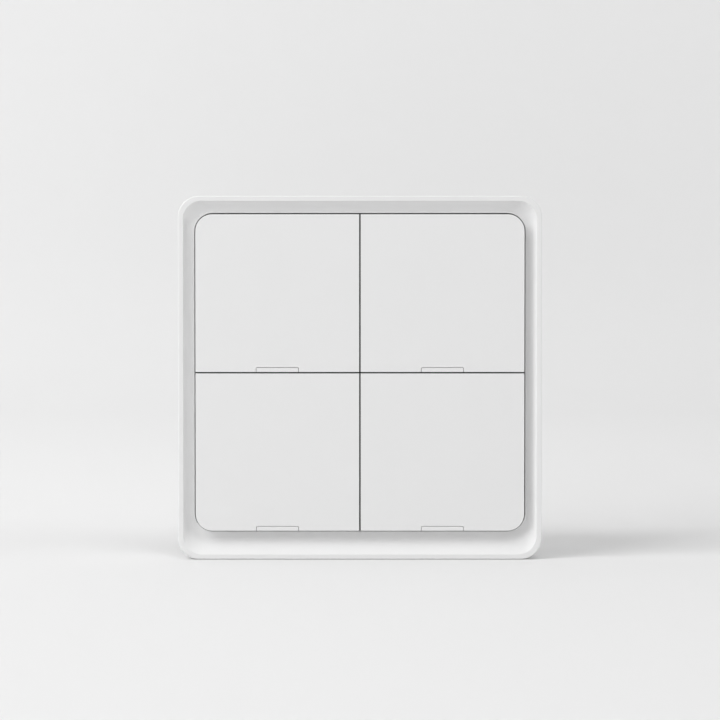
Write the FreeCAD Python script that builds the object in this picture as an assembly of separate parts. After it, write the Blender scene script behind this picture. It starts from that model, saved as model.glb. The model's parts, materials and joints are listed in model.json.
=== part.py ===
"""Four-key smart light switch for a standard 86 mm wall plate.

X runs to the right, Z up and Y into the wall. The wall surface is y = 0, and the origin is the
middle of the two fixing slots, so the keys look along -Y and the housing lies at y > 0.
All sizes are in millimetres.
"""
import FreeCAD, Part
import math
import os

V = FreeCAD.Vector
X_AXIS = V(1, 0, 0)
Y_AXIS = V(0, 1, 0)

# The corners of an outline as its arcs follow each other: sides in X and Z
CORNERS = ((1, 1), (-1, 1), (-1, -1), (1, -1))

# Running and seating clearances
key_gap = 0.35
slip = 0.15
snug = 0.05
lens_slip = 0.06
catch_gap = 0.05
plunger_gap = 0.05
wall_gap = 0.3
hole_slip = 0.1

# How far a cutter reaches past the face that it cuts
past = 1.0

# Face frame
plate_size = 86.0
plate_corner = 5.0
frame_wall = 1.8
rim_width = 1.2
rim_rounding = 0.5
cove_depth = 1.8
cove_corner = 4.4
cove_start_deg = 60.0
cove_end_deg = 8.0
cove_steps = 6
cove_side = 2.6
cove_top = 2.8
cove_bottom = 5.3
collar_wall = 1.0
collar_roof = 1.2
pry_width = 10.0
pry_height = 1.6
ledge_length = 10.0
ledge_depth = 0.5
ledge_height = 0.8

# Keys
field_corner = 4.0
key_edge = 0.15
key_plate = 1.8
key_proud = 0.4
skirt_wall = 1.2
skirt_depth = 1.4
rib_wall = 0.8
rib_height = 0.8

# Key hinge at the top of each key
hinge_drop = 3.2
hinge_height = 1.4
pin_radius = 0.8
ear_half = 1.2
ear_bevel = 0.5
ear_wall = 1.6
ear_inset = 7.2
pin_length = 2.4
saddle_wall = 0.9
saddle_lip = 0.3
saddle_mouth = 1.45

# Key hook and the catch on the carrier, near the bottom of each key
hook_side = 10.0
hook_width = 4.0
hook_wall = 1.0
hook_inset = 2.4
barb_reach = 0.9
barb_height = 0.85
catch_height = 0.8
catch_roof = 0.6
catch_wall = 1.0
slot_side = 0.4

# Key post and tact switch
post_span = 3.0
post_wall = 0.9
post_reach = 12.0
tact_size = 6.2
tact_height = 3.1
plunger_radius = 1.7
plunger_stand = 0.8
plunger_depth = 1.7
plunger_travel = 0.25
tact_window_side = 0.4

# Light guide and status light
lens_width = 10.0
lens_height = 1.05
lens_corner = 0.25
lens_flange = 1.35
lens_flange_wall = 1.0
stem_width = 4.0
stem_length = 1.2
led_width = 1.6
led_height = 0.8
led_depth = 0.5
led_window_width = 5.0
led_window_height = 2.2

# Depth stack, from the wall towards the front
yoke_thickness = 1.2
pan_rise = 0.4
solder_room = 1.0
board_thickness = 1.2
standoff = 0.6
carrier_thickness = 1.6
key_room = 2.2

# Control board and what it carries
board_inset = 1.9
board_drop = 2.0
board_corner = 2.0
boss_radius = 2.4
boss_inset = 2.5
boss_drop = 11.45
board_screw_radius = 0.95
board_screw_head_radius = 1.9
board_screw_head = 1.0
board_screw_length = 3.0
chip_size = 7.0
chip_height = 0.9
chip_x = 9.0
chip_z = -6.0
radio_width = 12.0
radio_height = 18.0
radio_thickness = 0.8
radio_x = -7.0
radio_z = -4.0
shield_inset = 1.0
shield_height = 1.8
shield_antenna = 5.0
shield_wall = 0.3

# Header and socket between the two boards
header_columns = 5
header_rows = 2
header_pitch = 2.54
header_body = 2.0
header_pin = 0.64
header_mate = 3.0
header_z = 14.0

# Mounting yoke
yoke_side_gap = 1.2
yoke_margin = 7.0
yoke_corner = 3.0
pan_side = 0.7
pan_edge = 0.5
screw_spacing = 60.3
slot_width = 4.5
slot_length = 7.0
tab_level = 20.0
tab_length = 12.0
tab_height = 2.8
tab_window = 8.0
tab_window_height = 1.6
nub_reach = 0.8
nub_side = 0.4
nub_height = 1.2
window_margin = 1.0
window_top = 6.0

# Rear housing
depth_in_wall = 23.6
housing_wall = 1.8
housing_corner = 4.0
housing_edge = 0.5
housing_side = 2.5
board_in_housing = 3.4
power_board_thickness = 1.6
power_board_slip = 0.2
column_radius = 4.0
well_radius = 2.9
well_floor = 6.9
housing_screw_radius = 1.45
housing_screw_head_radius = 2.6
housing_screw_head = 2.0
support_radius = 2.6
support_screw_radius = 1.2
support_screw_head_radius = 2.2
support_screw_head = 1.4
support_screw_length = 8.0
support_z = 6.0
vent_width = 1.4
vent_length = 20.0
vent_pitch = 4.0
vent_count = 7
top_vent_length = 8.0

# Terminal block
terminal_count = 6
terminal_pitch = 7.5
terminal_height = 12.0
entry_width = 5.0
entry_height = 5.2
groove_width = 0.8
groove_depth = 0.6
cage_width = 6.0
cage_height = 7.2
cage_length = 6.6
cage_wall = 0.8
cage_inset = 2.0
cage_lift = 2.9
strip_width = 3.0
strip_wall = 0.8
clamp_screw_radius = 1.5
clamp_head_radius = 2.2
clamp_head = 1.8
clamp_web = 3.8
clamp_well_radius = 2.4

# Parts on the power board
relay_count = 4
relay_width = 7.2
relay_length = 20.5
relay_gap = 0.8
relay_edge = 0.4
relay_to_terminals = 2.5
relay_to_transformer = 3.0
headroom = 1.9
transformer_width = 14.0
transformer_length = 13.0
transformer_gap = 1.9
transformer_x = -7.0
core_wall = 3.0
transformer_top_room = 5.2
capacitor_radius = 5.0
capacitor_gap = 0.8
capacitor_x = 7.5
fuse_width = 4.0
fuse_length = 8.4
fuse_height = 7.6
fuse_inset = 9.4
varistor_radius = 5.0
varistor_thickness = 4.0
varistor_inset = 8.0
varistor_lead = 0.5
varistor_stand = 1.5

# The depth stack in coordinates
pan_front = -(yoke_thickness + pan_rise)
board_back = pan_front - solder_room
board_front = board_back - board_thickness
carrier_back = board_front - standoff
carrier_front = carrier_back - carrier_thickness
skirt_end = carrier_front - key_room
key_back = skirt_end - skirt_depth
key_face = key_back - key_plate
rim_front = key_face + key_proud
cove_edge = rim_front + cove_depth
hinge_y = carrier_front - hinge_height
plunger_front = board_front - tact_height - plunger_stand
ledge_back = carrier_front - catch_height

# The key grid: two columns and two rows in one field, a little above the middle of the plate
rim_opening = plate_size - 2 * rim_width
field_width = rim_opening - 2 * (cove_side + key_gap)
field_height = rim_opening - cove_top - cove_bottom - 2 * key_gap
field_rise = (cove_bottom - cove_top) / 2
key_width = (field_width - key_gap) / 2
key_height = (field_height - key_gap) / 2
field_bottom = field_rise - field_height / 2
field_top = field_rise + field_height / 2
opening_width = field_width + 2 * key_gap
opening_height = field_height + 2 * key_gap
opening_corner = field_corner + key_gap
ear_side = key_width / 2 - ear_inset

# The control board and the four bosses that it is screwed to
board_width = field_width - 2 * board_inset
boss_side = board_width / 2 - boss_inset
boss_level = field_height / 2 - boss_drop

# The frame inside, and the carrier in it
pocket_size = plate_size - 2 * frame_wall
pocket_corner = plate_corner - frame_wall
carrier_size = pocket_size - 2 * slip

# The yoke between the screw lugs of the wall box
yoke_width = pocket_size - 2 * yoke_side_gap
housing_width = terminal_count * terminal_pitch + 2 * housing_side
housing_height = (terminal_height + relay_to_terminals + relay_length + relay_to_transformer
                  + transformer_length + transformer_top_room + housing_wall)
yoke_height = housing_height + 2 * yoke_margin
housing_front = -pan_rise
power_front = housing_front + board_in_housing
power_back = power_front + power_board_thickness
housing_back = depth_in_wall
relay_height = housing_back - housing_wall - headroom - power_back
capacitor_height = relay_height - capacitor_gap
transformer_height = relay_height - transformer_gap
housing_bottom = -housing_height / 2
housing_top = housing_height / 2
block_top = housing_bottom + terminal_height
column_x = housing_width / 2 - column_radius
column_levels = (block_top + snug + slip + column_radius, housing_top - column_radius)
fuse_x = housing_width / 2 - fuse_inset
varistor_x = varistor_inset - housing_width / 2
relay_bottom = block_top + relay_to_terminals
transformer_bottom = relay_bottom + relay_length + relay_to_transformer


def box(x, y, z):
    """A block between the low and high value of each pair."""
    return Part.makeBox(x[1] - x[0], y[1] - y[0], z[1] - z[0], V(x[0], y[0], z[0]))


def rod(radius, x, y, z):
    """A round bar along Y, between the two values of y."""
    return Part.makeCylinder(radius, y[1] - y[0], V(x, y[0], z), Y_AXIS)


def around(middle, size):
    """The low and high value of a span with its middle and size given."""
    return (middle - size / 2, middle + size / 2)


def outline(width, height, radii, y, x=0.0, z=0.0):
    """A closed outline facing Y. radii: one, or top right, top left, bottom left, bottom right."""
    if not isinstance(radii, (tuple, list)):
        radii = (radii,) * len(CORNERS)
    arcs = []
    for quarter, ((side, level), radius) in enumerate(zip(CORNERS, radii)):
        middle = V(x + side * (width / 2 - radius), y, z + level * (height / 2 - radius))
        points = []
        for half in range(3):
            angle = (quarter + half / 2) * math.pi / 2
            points.append(middle + V(radius * math.cos(angle), 0, radius * math.sin(angle)))
        arcs.append(points)
    edges = []
    for index, points in enumerate(arcs):
        if radii[index] > 0:
            edges.append(Part.Arc(*points).toShape())
        edges.append(Part.LineSegment(points[2], arcs[(index + 1) % len(arcs)][0]).toShape())
    return Part.Wire(edges)


def slab(width, height, radii, y, x=0.0, z=0.0):
    """A plate with rounded corners between the two values of y."""
    face = Part.Face(outline(width, height, radii, y[0], x, z))
    return face.extrude(V(0, y[1] - y[0], 0))


def profile(points, x):
    """A prism along X with corners (y, z), between the two values of x."""
    corners = [V(x[0], y, z) for y, z in points]
    face = Part.Face(Part.makePolygon(corners + corners[:1]))
    return face.extrude(V(x[1] - x[0], 0, 0))


def edges_at(shape, y):
    """The edges that lie wholly at the depth y."""
    near = 1e-6
    return [e for e in shape.Edges
            if abs(e.BoundBox.YMin - y) < near and abs(e.BoundBox.YMax - y) < near]


def export(name, shape):
    """Write one sub-part as a STEP file."""
    shape = shape.removeSplitter() if len(shape.Solids) == 1 else shape
    if not shape.isValid():
        raise ValueError(name + " is not a valid shape")
    shape.exportStep(os.path.join("parts", name + ".step"))
    print(f"{name}: {len(shape.Solids)} solids, {shape.Volume:.1f} mm3")


def key_places():
    """Name, column, row, middle x, bottom z and top z of each key."""
    places = []
    for row, level in ((1, "top"), (-1, "bottom")):
        for column, side in ((-1, "left"), (1, "right")):
            x = column * (key_width + key_gap) / 2
            z = field_rise + row * (key_height + key_gap) / 2
            bottom, top = z - key_height / 2, z + key_height / 2
            places.append((level + "_" + side, column, row, x, bottom, top))
    return places


def face_frame():
    """Outer shell with its rim, the cove that falls to the keys, and the collar round the keys."""
    frame = slab(plate_size, plate_size, plate_corner, (rim_front, -wall_gap))
    frame = frame.makeFillet(rim_rounding, edges_at(frame, rim_front))

    # The cove is lofted from the rim to the key opening, steep at the rim and nearly flat inside
    first, last = math.radians(cove_start_deg), math.radians(cove_end_deg)
    sections = []
    for step in range(cove_steps):
        angle = first + (last - first) * step / (cove_steps - 1)
        across = (math.sin(first) - math.sin(angle)) / (math.sin(first) - math.sin(last))
        down = (math.cos(angle) - math.cos(first)) / (math.cos(last) - math.cos(first))
        width = rim_opening + (opening_width - rim_opening) * across
        height = rim_opening + (opening_height - rim_opening) * across
        corner = cove_corner + (opening_corner - cove_corner) * across
        sections.append(outline(width, height, corner, rim_front + cove_depth * down,
                                z=field_rise * across))
    frame = frame.cut(Part.makeLoft(sections, True, False))
    frame = frame.cut(slab(opening_width, opening_height, opening_corner,
                           (rim_front, carrier_front), z=field_rise))

    # Behind the collar the frame is a plain box that takes the carrier
    frame = frame.cut(slab(pocket_size, pocket_size, pocket_corner, (carrier_front, 0)))
    groove = slab(pocket_size, pocket_size, pocket_corner, (cove_edge + collar_roof, carrier_front))
    collar = slab(opening_width + 2 * collar_wall, opening_height + 2 * collar_wall,
                  opening_corner + collar_wall, (cove_edge, carrier_front), z=field_rise)
    frame = frame.cut(groove.cut(collar))

    # Snap ledges at the top and bottom hold the carrier, nubs at the sides hold the yoke
    back = carrier_back + snug
    half = pocket_size / 2
    for level in (-1, 1):
        for side in (-1, 1):
            ledge = profile(((back, level * half), (back, level * (half - ledge_depth)),
                             (back + ledge_height, level * half)),
                            around(side * tab_level, ledge_length))
            frame = frame.fuse(ledge)
    tab_front = -(yoke_thickness + tab_window_height + tab_window_gap())
    reach = yoke_side_gap + nub_reach
    for side in (-1, 1):
        for level in (-1, 1):
            wall = side * half
            nub = box(sorted((wall, wall - side * reach)),
                      (tab_front + hole_slip, tab_front + hole_slip + nub_height),
                      around(level * tab_level, tab_window - 2 * nub_side))
            frame = frame.fuse(nub)

    # Slot for a small screwdriver in the bottom edge
    pry = box(around(0, pry_width), (-wall_gap - pry_height, 0),
              (-plate_size / 2 - past, -half + slip))
    return frame.cut(pry)


def tab_window_gap():
    """How far the window of a yoke tab starts in front of the yoke's plate."""
    return (tab_height - tab_window_height) / 3


def key(column, row, x, bottom, top):
    """Plate with skirts, hinge ears and pins at the top, hooks at the bottom, post and ribs."""
    middle = (bottom + top) / 2
    radii = [field_corner if corner == (column, row) else 0.0 for corner in CORNERS]
    body = slab(key_width, key_height, radii, (key_face, skirt_end), x, middle)
    body = body.makeChamfer(key_edge, edges_at(body, key_face))
    inner = [max(radius - skirt_wall, 0.0) for radius in radii]
    body = body.cut(slab(key_width - 2 * skirt_wall, key_height - 2 * skirt_wall, inner,
                         (key_back, skirt_end), x, middle))

    # Stiffening ribs under the plate
    inside = (bottom + skirt_wall, top - skirt_wall)
    rib_depth = (key_back, key_back + rib_height)
    for side in (-1, 1):
        rib_x = x + side * key_width / 6
        body = body.fuse(box(around(rib_x, rib_wall), rib_depth, inside))
    body = body.fuse(box(around(x, key_width - 2 * skirt_wall), rib_depth,
                         around(middle - key_height / 6, rib_wall)))

    # Hinge ears with their pins
    axis_z = top - hinge_drop
    for side in (-1, 1):
        ear_in, ear_out = x + side * ear_side, x + side * (ear_side + ear_wall)
        span = sorted((ear_in, ear_out))
        end = hinge_y + ear_half
        body = body.fuse(profile(((key_back, axis_z - ear_half), (end - ear_bevel, axis_z - ear_half),
                                  (end, axis_z - ear_half + ear_bevel),
                                  (end, axis_z + ear_half - ear_bevel),
                                  (end - ear_bevel, axis_z + ear_half),
                                  (key_back, axis_z + ear_half)), span))
        pin = sorted((ear_out, ear_out + side * pin_length))
        body = body.fuse(Part.makeCylinder(pin_radius, pin_length, V(pin[0], hinge_y, axis_z), X_AXIS))

    # Hooks that stop the key on its way out
    leg_bottom = bottom + hook_inset
    leg_top = leg_bottom + hook_wall
    barb_front = ledge_back + catch_gap
    barb_end = barb_front + barb_height
    for side in (-1, 1):
        hook = profile(((key_back, leg_bottom), (barb_end, leg_bottom), (barb_end, leg_top),
                        (barb_front + barb_height / 3, leg_top + barb_reach),
                        (barb_front, leg_top + barb_reach), (barb_front, leg_top),
                        (key_back, leg_top)),
                       around(x + side * hook_side, hook_width))
        body = body.fuse(hook)

    # Cross-shaped post over the plunger
    post_z = axis_z - post_reach
    post_depth = (key_back, plunger_front - plunger_gap)
    body = body.fuse(box(around(x, post_span), post_depth, around(post_z, post_wall)))
    body = body.fuse(box(around(x, post_wall), post_depth, around(post_z, post_span)))

    # Notch for the light guide, with rounded upper corners
    notch_width = lens_width + 2 * lens_slip
    notch = slab(notch_width, 2 * (lens_height + lens_slip), lens_corner + lens_slip,
                 (key_face, key_back), x, bottom)
    notch = notch.fuse(box(around(x, notch_width), (key_back, skirt_end),
                           (bottom - past, bottom + skirt_wall)))
    return body.cut(notch)


def light_guide(x, bottom):
    """Window bar flush with the key's face, a flange behind the plate and a stem to the light."""
    bar = slab(lens_width, 2 * lens_height, lens_corner, (key_face, key_back), x, bottom)
    bar = bar.cut(box(around(x, 2 * lens_width), (key_face, key_back),
                      (bottom - lens_height - past, bottom)))
    back = box(around(x, lens_width), (key_back, skirt_end), (bottom, bottom + lens_height))
    flange = box(around(x, lens_width), (key_back, key_back + lens_flange_wall),
                 (bottom, bottom + lens_height + lens_flange))
    stem = box(around(x, stem_width), (skirt_end, skirt_end + stem_length),
               (bottom, bottom + lens_height))
    return bar.fuse([back, flange, stem])


def key_carrier():
    """Plate behind the keys with hinge saddles, hook catches, windows and screw bosses."""
    carrier = slab(carrier_size, carrier_size, pocket_corner - slip, (carrier_front, carrier_back))
    for side in (-1, 1):
        for level in (-1, 1):
            boss = rod(boss_radius, side * boss_side, (carrier_back, board_front), level * boss_level)
            carrier = carrier.fuse(boss)
    for _, _, _, x, bottom, top in key_places():
        carrier = carrier.fuse(hinge_saddles(x, top) + hook_catches(x, bottom))
        depth = (carrier_front - past, carrier_back + past)
        post_z = top - hinge_drop - post_reach
        window = tact_size + 2 * tact_window_side
        cuts = [box(around(x, window), depth, around(post_z, window))]
        cuts.append(box(around(x, led_window_width), depth,
                        around(bottom + lens_height / 2, led_window_height)))
        for side in (-1, 1):
            cuts.append(box(around(x + side * hook_side, hook_width + 2 * slot_side), depth,
                            (bottom + hook_inset - slot_side, catch_root(bottom))))
        carrier = carrier.cut(cuts)
    for side in (-1, 1):
        for level in (-1, 1):
            carrier = carrier.cut(rod(board_screw_radius + snug, side * boss_side,
                                      (board_back - board_screw_length, board_front),
                                      level * boss_level))
    return carrier


def hinge_saddles(x, top):
    """Saddles that the hinge pins of one key snap into, past the narrow mouth of each."""
    axis_z = top - hinge_drop
    bore = pin_radius + snug
    front = hinge_y - bore - saddle_lip
    saddles = []
    for side in (-1, 1):
        start = x + side * (ear_side + ear_wall + 2 * slip)
        span = sorted((start, start + side * (pin_length - 2 * slip)))
        saddle = box(span, (front, carrier_front), around(axis_z, 2 * (bore + saddle_wall)))
        room = profile(((front, axis_z - saddle_mouth / 2), (hinge_y - pin_radius / 2, axis_z - bore),
                        (hinge_y + bore, axis_z - bore), (hinge_y + bore, axis_z + bore),
                        (hinge_y - pin_radius / 2, axis_z + bore), (front, axis_z + saddle_mouth / 2)),
                       span)
        saddles.append(saddle.cut(room))
    return saddles


def catch_root(bottom):
    """The level at which the catch of a key's hook stands on the carrier."""
    return bottom + hook_inset + hook_wall + barb_reach + 2 * snug + catch_gap


def hook_catches(x, bottom):
    """Hooks on the carrier that reach over the barbs of one key."""
    root = catch_root(bottom)
    tip = bottom + hook_inset + hook_wall + slip
    catches = []
    for side in (-1, 1):
        catches.append(profile(((carrier_front, root), (ledge_back, root), (ledge_back, tip),
                                (ledge_back - catch_roof, tip),
                                (ledge_back - catch_roof, root + catch_wall),
                                (carrier_front, root + catch_wall)),
                               around(x + side * hook_side, hook_width + 2 * slot_side)))
    return catches


def control_board():
    """Board behind the carrier, with clearance holes for its four screws."""
    low, high = field_bottom - board_drop, field_top - board_drop
    board = slab(board_width, high - low, board_corner, (board_front, board_back), z=(low + high) / 2)
    for side in (-1, 1):
        for level in (-1, 1):
            board = board.cut(rod(board_screw_radius + hole_slip, side * boss_side,
                                  (board_front, board_back), level * boss_level))
    return board


def board_screws():
    """Four pan-head screws through the control board into the carrier's bosses."""
    screws = []
    for side in (-1, 1):
        for level in (-1, 1):
            x, z = side * boss_side, level * boss_level
            tip = board_back - board_screw_length + snug
            head = rod(board_screw_head_radius, x, (board_back, board_back + board_screw_head), z)
            screws.append(head.fuse(rod(board_screw_radius, x, (tip, board_back), z)))
    return Part.makeCompound(screws)


def tact_switch_bodies():
    """Four square switch bodies on the control board, each with the bore for its plunger."""
    bodies = []
    for _, _, _, x, _, top in key_places():
        z = top - hinge_drop - post_reach
        front = board_front - tact_height
        body = box(around(x, tact_size), (front, board_front), around(z, tact_size))
        bore_floor = front + plunger_depth + plunger_travel + plunger_gap
        bodies.append(body.cut(rod(plunger_radius + snug, x, (front, bore_floor), z)))
    return Part.makeCompound(bodies)


def plunger(x, top):
    """Round plunger of one tact switch."""
    return rod(plunger_radius, x, (plunger_front, plunger_front + plunger_stand + plunger_depth),
               top - hinge_drop - post_reach)


def status_leds():
    """One small light behind each light guide."""
    lights = [box(around(x, led_width), (board_front - led_depth, board_front),
                  around(bottom + lens_height / 2, led_height))
              for _, _, _, x, bottom, _ in key_places()]
    return Part.makeCompound(lights)


def control_chip():
    """Main chip on the back of the control board."""
    chip = box(around(chip_x, chip_size), (board_back, board_back + chip_height),
               around(chip_z, chip_size))
    return chip.makeChamfer(chip_height / 4, edges_at(chip, board_back + chip_height))


def radio_board():
    """Thin board of the radio, flat on the control board."""
    return box(around(radio_x, radio_width), (board_back, board_back + radio_thickness),
               around(radio_z, radio_height))


def radio_shield():
    """Sheet-metal can over the radio, short of the antenna end."""
    front = board_back + radio_thickness
    width = radio_width - 2 * shield_inset
    length = radio_height - shield_antenna - shield_inset
    z = radio_z - (shield_antenna - shield_inset) / 2
    can = box(around(radio_x, width), (front, front + shield_height), around(z, length))
    return can.cut(box(around(radio_x, width - 2 * shield_wall),
                       (front, front + shield_height - shield_wall),
                       around(z, length - 2 * shield_wall)))


def header_grid():
    """The places (x, z) of the header's pins."""
    return [((column - (header_columns - 1) / 2) * header_pitch,
             header_z + (row - (header_rows - 1) / 2) * header_pitch)
            for row in range(header_rows) for column in range(header_columns)]


def pin_header():
    """Insulating bar on the control board with the pins that reach into the socket."""
    end = board_back + header_body
    header = box(around(0, header_columns * header_pitch), (board_back, end),
                 around(header_z, header_rows * header_pitch))
    pins = [box(around(x, header_pin), (end, end + header_mate), around(z, header_pin))
            for x, z in header_grid()]
    return header.fuse(pins)


def pin_socket():
    """Socket on the power board, with a hole for each pin."""
    front = board_back + header_body
    socket = box(around(0, header_columns * header_pitch), (front, power_front),
                 around(header_z, header_rows * header_pitch))
    hole = header_pin + 2 * snug
    holes = [box(around(x, hole), (front, front + header_mate + hole_slip), around(z, hole))
             for x, z in header_grid()]
    return socket.cut(holes)


def mounting_yoke():
    """Pressed steel plate with fixing slots, a shallow pan over the housing and side tabs."""
    yoke = slab(yoke_width, yoke_height, yoke_corner, (-yoke_thickness, 0))
    pan_width = housing_width + 2 * pan_side
    pan_height = housing_height + 2 * pan_side
    pan_corner = housing_corner + pan_side
    yoke = yoke.fuse(slab(pan_width + 2 * pan_edge, pan_height + 2 * pan_edge, pan_corner + pan_edge,
                          (pan_front, -yoke_thickness)))
    yoke = yoke.cut(slab(pan_width, pan_height, pan_corner, (-pan_rise, 0)))

    # The opening for the header and the parts on the back of the control board
    half = column_x - column_radius - window_margin
    low, high = block_top, housing_top - window_top
    yoke = yoke.cut(slab(2 * half, high - low, yoke_corner, (pan_front, 0), z=(low + high) / 2))

    # Slots for the screws of the wall box
    for side in (-1, 1):
        yoke = yoke.cut(long_hole(side * screw_spacing / 2))

    # Tabs bent forward at the sides, each with the window that a nub of the frame snaps into
    window_back = -(yoke_thickness + tab_window_gap())
    for side in (-1, 1):
        edge = side * yoke_width / 2
        for level in (-1, 1):
            tab = box(sorted((edge, edge - side * yoke_thickness)),
                      (-(yoke_thickness + tab_height), 0), around(level * tab_level, tab_length))
            tab = tab.cut(box(sorted((edge, edge - side * yoke_thickness)),
                              (window_back - tab_window_height, window_back),
                              around(level * tab_level, tab_window)))
            yoke = yoke.fuse(tab)

    # Threaded holes for the housing screws
    for side in (-1, 1):
        for z in column_levels:
            yoke = yoke.cut(rod(housing_screw_radius + snug, side * column_x, (pan_front, 0), z))
    return yoke


def long_hole(x):
    """A slot through the yoke along X, with half-round ends."""
    radius = slot_width / 2
    run = slot_length / 2 - radius
    depth = (-yoke_thickness, 0)
    return box(around(x, 2 * run), depth, around(0, slot_width)).fuse(
        [rod(radius, x - run, depth, 0), rod(radius, x + run, depth, 0)])


def rear_housing():
    """Box in the wall with screw columns, board supports, vents and the cut-out for the terminals."""
    shell = slab(housing_width, housing_height, housing_corner, (housing_front, housing_back))
    shell = shell.makeChamfer(housing_edge, edges_at(shell, housing_back))
    outside = shell.copy()
    inner_back = housing_back - housing_wall
    shell = shell.cut(slab(housing_width - 2 * housing_wall, housing_height - 2 * housing_wall,
                           housing_corner - housing_wall, (housing_front, inner_back)))
    support_x = housing_width / 2 - housing_wall - support_radius
    added = []
    for side in (-1, 1):
        for z in column_levels:
            column = rod(column_radius, side * column_x, (housing_front, housing_back), z)
            added.append(column.common(outside))
        added.append(rod(support_radius, side * support_x, (power_back, inner_back), support_z))
        added.append(box(sorted((side * support_x, side * (housing_width / 2 - housing_wall / 2))),
                         (power_back, inner_back), around(support_z, support_radius)))
    shell = shell.fuse(added)

    cuts = []
    for side in (-1, 1):
        for z in column_levels:
            cuts.append(rod(housing_screw_radius + hole_slip, side * column_x,
                            (housing_front, housing_back), z))
            cuts.append(rod(well_radius, side * column_x, (housing_front + well_floor, housing_back), z))
        cuts.append(rod(support_screw_radius + snug, side * support_x,
                        (power_back, power_back + support_screw_length), support_z))

    # The terminal block stands in the lower rear corner
    cuts.append(box(around(0, terminal_count * terminal_pitch + 2 * slip),
                    (power_back - slip, housing_back + past),
                    (housing_bottom - past, block_top + slip)))

    # Vents over the relays, and in the top wall
    for index in range(vent_count):
        x = (index - (vent_count - 1) / 2) * vent_pitch
        cuts.append(box(around(x, vent_width), (inner_back, housing_back),
                        around(relay_bottom + relay_length / 2, vent_length)))
        cuts.append(box(around(x, vent_width), around((power_back + inner_back) / 2, top_vent_length),
                        (housing_top - housing_wall, housing_top)))
    return shell.cut(cuts)


def power_board():
    """Board in the housing, notched round the screw columns."""
    wall = housing_wall + power_board_slip
    depth = (power_front, power_back)
    board = slab(housing_width - 2 * wall, housing_height - 2 * wall,
                 housing_corner - housing_wall, depth)
    notch = column_radius + power_board_slip
    support_x = housing_width / 2 - housing_wall - support_radius
    cuts = []
    for side in (-1, 1):
        edge = side * housing_width / 2
        for z in column_levels:
            cuts.append(rod(notch, side * column_x, depth, z))
            cuts.append(box(sorted((side * column_x, edge)), depth, around(z, 2 * notch)))
        cuts.append(box(sorted((side * (column_x - notch), edge)), depth,
                        (column_levels[1], housing_top)))
        cuts.append(rod(support_screw_radius + hole_slip, side * support_x, depth, support_z))
    return board.cut(cuts)


def power_board_screws():
    """Two screws that hold the power board on its supports."""
    screws = []
    for side in (-1, 1):
        x = side * (housing_width / 2 - housing_wall - support_radius)
        front = power_front - support_screw_head
        head = rod(support_screw_head_radius, x, (front, power_front), support_z)
        shank = rod(support_screw_radius, x, (power_front, power_back + support_screw_length - snug),
                    support_z)
        screws.append(head.fuse(shank))
    return Part.makeCompound(screws)


def housing_screws():
    """Four screws in the deep wells of the housing, threaded into the yoke."""
    screws = []
    seat = housing_front + well_floor
    for side in (-1, 1):
        for z in column_levels:
            x = side * column_x
            head = rod(housing_screw_head_radius, x, (seat, seat + housing_screw_head), z)
            screws.append(head.fuse(rod(housing_screw_radius, x, (pan_front, seat), z)))
    return Part.makeCompound(screws)


def terminal_places():
    """The middle x of each terminal."""
    return [(index - (terminal_count - 1) / 2) * terminal_pitch for index in range(terminal_count)]


def cage_span():
    """The depth span and the level span of every terminal cage."""
    front = power_back + cage_lift
    low = housing_bottom + cage_inset
    return (front, front + cage_height), (low, low + cage_length)


def terminal_block():
    """Insulating block with wire entries below, screw wells at the back and a rib between each two."""
    width = terminal_count * terminal_pitch
    block = box(around(0, width), (power_back, housing_back), (housing_bottom, block_top))
    cage_y, cage_z = cage_span()
    cuts = []
    for x in terminal_places():
        # Cavity of the cage, open towards the board that it is put in from
        cuts.append(box(around(x, cage_width + 2 * snug), (power_back, cage_y[1] + snug),
                        (cage_z[0] - snug, cage_z[1] + snug)))
        entry_y = (cage_y[0] + cage_wall, cage_y[0] + cage_wall + entry_height)
        cuts.append(box(around(x, entry_width), entry_y, (housing_bottom, cage_z[0])))
        web = cage_y[1] + clamp_web
        cuts.append(rod(clamp_screw_radius + hole_slip, x, (cage_y[1], web), sum(cage_z) / 2))
        cuts.append(rod(clamp_well_radius, x, (web, housing_back), sum(cage_z) / 2))
    for x in terminal_places()[1:]:
        middle = x - terminal_pitch / 2
        cuts.append(box(around(middle, groove_width), (housing_back - groove_depth, housing_back),
                        (housing_bottom, block_top)))
        cuts.append(box(around(middle, groove_width), (power_back, housing_back),
                        (housing_bottom, housing_bottom + groove_depth)))
    return block.cut(cuts)


def terminal_cages():
    """Brass cages that clamp the wires, each with a strip to the power board."""
    cage_y, cage_z = cage_span()
    cages = []
    for x in terminal_places():
        cage = box(around(x, cage_width), cage_y, cage_z)
        cage = cage.cut(box(around(x, cage_width - 2 * cage_wall),
                            (cage_y[0] + cage_wall, cage_y[1] - 2 * cage_wall), cage_z))
        strip = box(around(x, strip_width), (power_back, cage_y[0]),
                    (cage_z[1] - strip_wall, cage_z[1]))
        cage = cage.fuse(strip)
        cages.append(cage.cut(rod(clamp_screw_radius + snug, x,
                                  (cage_y[1] - 2 * cage_wall, cage_y[1]), sum(cage_z) / 2)))
    return Part.makeCompound(cages)


def terminal_screws():
    """Clamp screws at the bottom of their wells."""
    cage_y, cage_z = cage_span()
    seat = cage_y[1] + clamp_web
    z = sum(cage_z) / 2
    screws = []
    for x in terminal_places():
        head = rod(clamp_head_radius, x, (seat, seat + clamp_head), z)
        screws.append(head.fuse(rod(clamp_screw_radius, x, (cage_y[1] - 2 * cage_wall, seat), z)))
    return Part.makeCompound(screws)


def relay(index):
    """One slim relay, with bevelled edges at its back."""
    x = (index - (relay_count - 1) / 2) * (relay_width + relay_gap)
    back = power_back + relay_height
    body = box(around(x, relay_width), (power_back, back),
               (relay_bottom, relay_bottom + relay_length))
    return body.makeChamfer(relay_edge, edges_at(body, back))


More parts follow.
